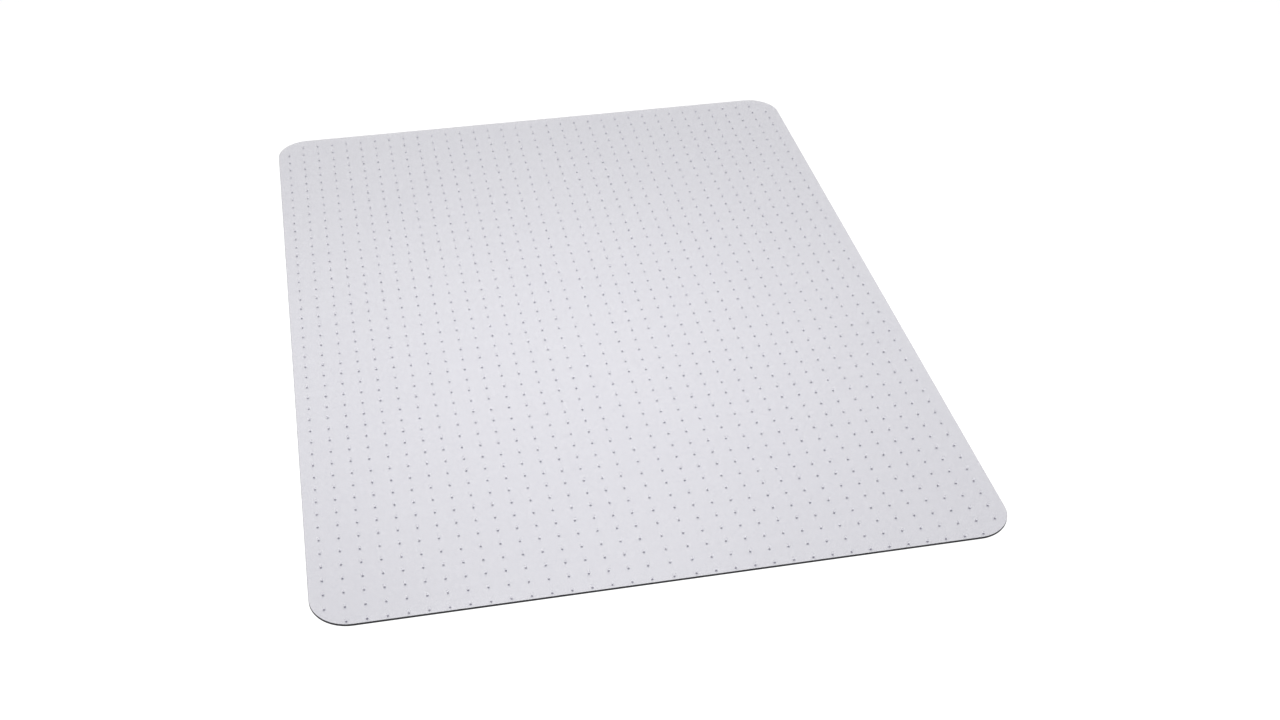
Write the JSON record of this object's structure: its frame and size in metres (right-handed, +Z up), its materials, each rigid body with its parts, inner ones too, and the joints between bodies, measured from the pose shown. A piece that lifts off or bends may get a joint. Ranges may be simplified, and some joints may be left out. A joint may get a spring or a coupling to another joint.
{
  "type": "chair mat",
  "caption": "Flat rectangular clear vinyl chair mat with rounded corners and a grid of short gripping cleats under it, for rolling a desk chair over carpet.",
  "frame": {"origin": "on the floor plane that the cleat tips touch, under the middle of the sheet", "axes": "+Z up through the sheet, +Y along the mat's length to the back edge, +X across its width to the right"},
  "size_m": [0.9144, 1.2192, 0.0083],
  "materials": {
    "clear_vinyl": "satin",
    "cleat_vinyl": "satin"
  },
  "bodies": {
    "root": {"left_cleat_column_01": "cleat_vinyl", "left_cleat_column_02": "cleat_vinyl", "left_cleat_column_03": "cleat_vinyl", "left_cleat_column_04": "cleat_vinyl", "left_cleat_column_05": "cleat_vinyl", "left_cleat_column_06": "cleat_vinyl", "left_cleat_column_07": "cleat_vinyl", "left_cleat_column_08": "cleat_vinyl", "left_cleat_column_09": "cleat_vinyl", "left_cleat_column_10": "cleat_vinyl", "left_cleat_column_11": "cleat_vinyl", "left_cleat_column_12": "cleat_vinyl", "left_cleat_column_13": "cleat_vinyl", "left_cleat_column_14": "cleat_vinyl", "left_cleat_column_15": "cleat_vinyl", "left_cleat_column_16": "cleat_vinyl", "left_cleat_column_17": "cleat_vinyl", "mat_sheet": "clear_vinyl", "middle_cleat_column": "cleat_vinyl", "right_cleat_column_01": "cleat_vinyl", "right_cleat_column_02": "cleat_vinyl", "right_cleat_column_03": "cleat_vinyl", "right_cleat_column_04": "cleat_vinyl", "right_cleat_column_05": "cleat_vinyl", "right_cleat_column_06": "cleat_vinyl", "right_cleat_column_07": "cleat_vinyl", "right_cleat_column_08": "cleat_vinyl", "right_cleat_column_09": "cleat_vinyl", "right_cleat_column_10": "cleat_vinyl", "right_cleat_column_11": "cleat_vinyl", "right_cleat_column_12": "cleat_vinyl", "right_cleat_column_13": "cleat_vinyl", "right_cleat_column_14": "cleat_vinyl", "right_cleat_column_15": "cleat_vinyl", "right_cleat_column_16": "cleat_vinyl", "right_cleat_column_17": "cleat_vinyl"}
  },
  "joints": []
}
